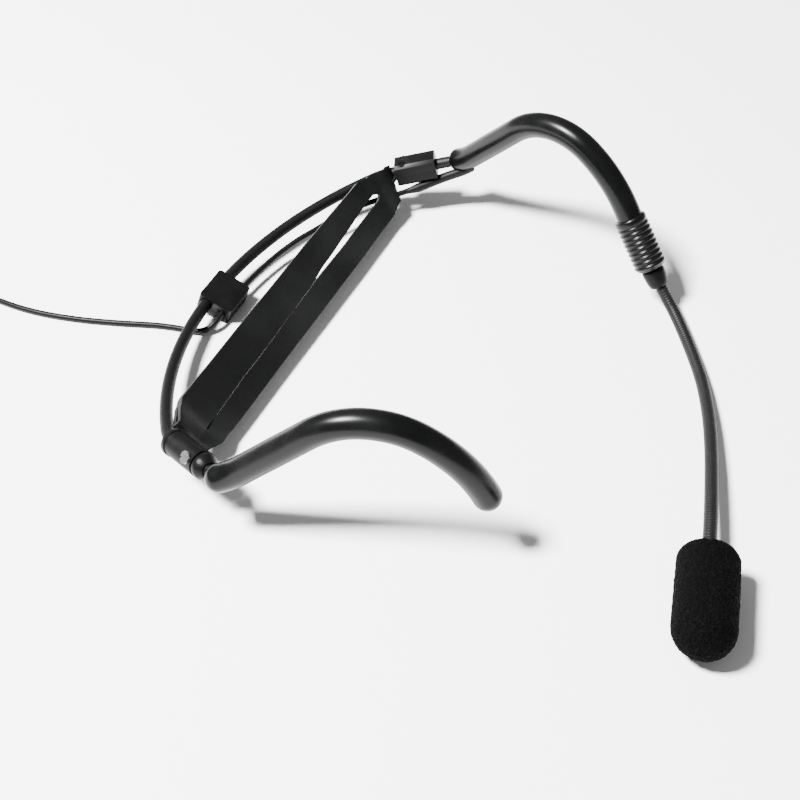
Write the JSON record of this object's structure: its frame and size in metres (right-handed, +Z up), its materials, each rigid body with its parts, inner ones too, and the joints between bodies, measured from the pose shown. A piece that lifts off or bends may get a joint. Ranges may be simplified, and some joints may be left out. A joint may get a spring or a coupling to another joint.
{
  "type": "headset microphone",
  "caption": "Behind-the-neck headset microphone: padded ear hooks on a sprung neckband, slit strap, ribbed suspension, gooseneck boom with foam windscreen and a coiled cable.",
  "frame": {"origin": "middle of the footprint of the headset without its free cable, on the table it lies on", "axes": "+X towards the wearer's mouth, +Y towards the wearer's left, the side that carries the boom, +Z up from the table"},
  "size_m": [0.3165, 0.1912, 0.0536],
  "materials": {
    "spring_steel": "bright drawn wire",
    "copper_core": "stranded core",
    "sleeve_rubber": "satin black sleeve",
    "tube_rubber": "satin black padded tube, slightly glossy",
    "ribbed_rubber": "moulded black rubber with ribs",
    "joint_plastic": "satin black moulded plastic",
    "black_steel": "black oxide",
    "strap_leather": "fine grained matt black strap",
    "cable_jacket": "black jacket",
    "tie_fabric": "woven black tie",
    "plug_metal": "satin black plated shell",
    "insulator_plastic": "matt insulator",
    "contact_brass": "gold plated contacts",
    "gooseneck_coat": "fine spiral ribs, matt black",
    "capsule_metal": "turned can",
    "windscreen_foam": "open cell foam, matt black"
  },
  "bodies": {
    "neckband": {"neckband_wire": "spring_steel", "neckband_sleeve": "sleeve_rubber", "near_joint_barrel": "joint_plastic", "near_clamp_screw": "black_steel", "far_block_cover": "joint_plastic", "far_block_base": "joint_plastic", "far_block_screws": "black_steel", "strap_upper_band": "strap_leather", "strap_lower_band": "strap_leather", "strap_near_hem": "strap_leather", "strap_far_hem": "strap_leather", "mic_lead": "cable_jacket", "lead_gland": "sleeve_rubber", "free_cable": "cable_jacket", "cable_coil": "cable_jacket", "coil_tie": "tie_fabric", "cable_tail": "cable_jacket", "plug_boot": "sleeve_rubber", "plug_shell": "plug_metal", "plug_insulator": "insulator_plastic", "plug_contacts": "contact_brass"},
    "near_hook": {"near_swivel_stud": "black_steel", "near_collar": "joint_plastic", "near_hook_core": "spring_steel", "near_hook_tube": "tube_rubber"},
    "far_hook": {"far_swivel_stud": "black_steel", "far_hook_core": "spring_steel", "hook_inner_lead": "cable_jacket", "far_hook_tube": "tube_rubber", "suspension_sleeve": "ribbed_rubber", "suspension_bush": "joint_plastic"},
    "boom": {"boom_boot": "joint_plastic", "boom_gooseneck": "gooseneck_coat", "boom_core": "copper_core", "mic_housing": "black_steel", "mic_grille": "black_steel", "mic_capsule": "capsule_metal", "mic_gasket": "sleeve_rubber", "capsule_carrier": "joint_plastic"},
    "windscreen": {"foam_windscreen": "windscreen_foam"},
    "cable_clip": {"clip_upper_half": "joint_plastic", "clip_lower_half": "joint_plastic"},
    "latch": {"latch_button": "joint_plastic"}
  },
  "joints": [
    {"name": "near_hook_swivel", "type": "hinge", "parent": "neckband", "child": "near_hook", "pos_m": [-0.04335, -0.08305, 0.01928], "axis": [0.8869, -0.4067, 0.219], "range_deg": [-10, 25]},
    {"name": "far_hook_swivel", "type": "hinge", "parent": "neckband", "child": "far_hook", "pos_m": [-0.04335, 0.08305, 0.01928], "axis": [0.8869, 0.4067, 0.219], "range_deg": [-25, 0]},
    {"name": "boom_swivel", "type": "hinge", "parent": "far_hook", "child": "boom", "pos_m": [0.03693, 0.05885, 0.014], "axis": [0.577, -0.2037, -0.791], "range_deg": [-50, 0]},
    {"name": "windscreen_slide", "type": "slide", "parent": "boom", "child": "windscreen", "axis": [0.2137, -0.9769, 0], "range_m": [0, 0.022]},
    {"name": "clip_slide", "type": "hinge", "parent": "neckband", "child": "cable_clip", "pos_m": [0.00888, 0, 0.03217], "axis": [0.2397, 0, -0.9708], "range_deg": [0, 8]},
    {"name": "latch_press", "type": "slide", "parent": "neckband", "child": "latch", "axis": [0, 0, -1], "range_m": [0, 0.0008], "stiffness_N_per_m": 400}
  ]
}
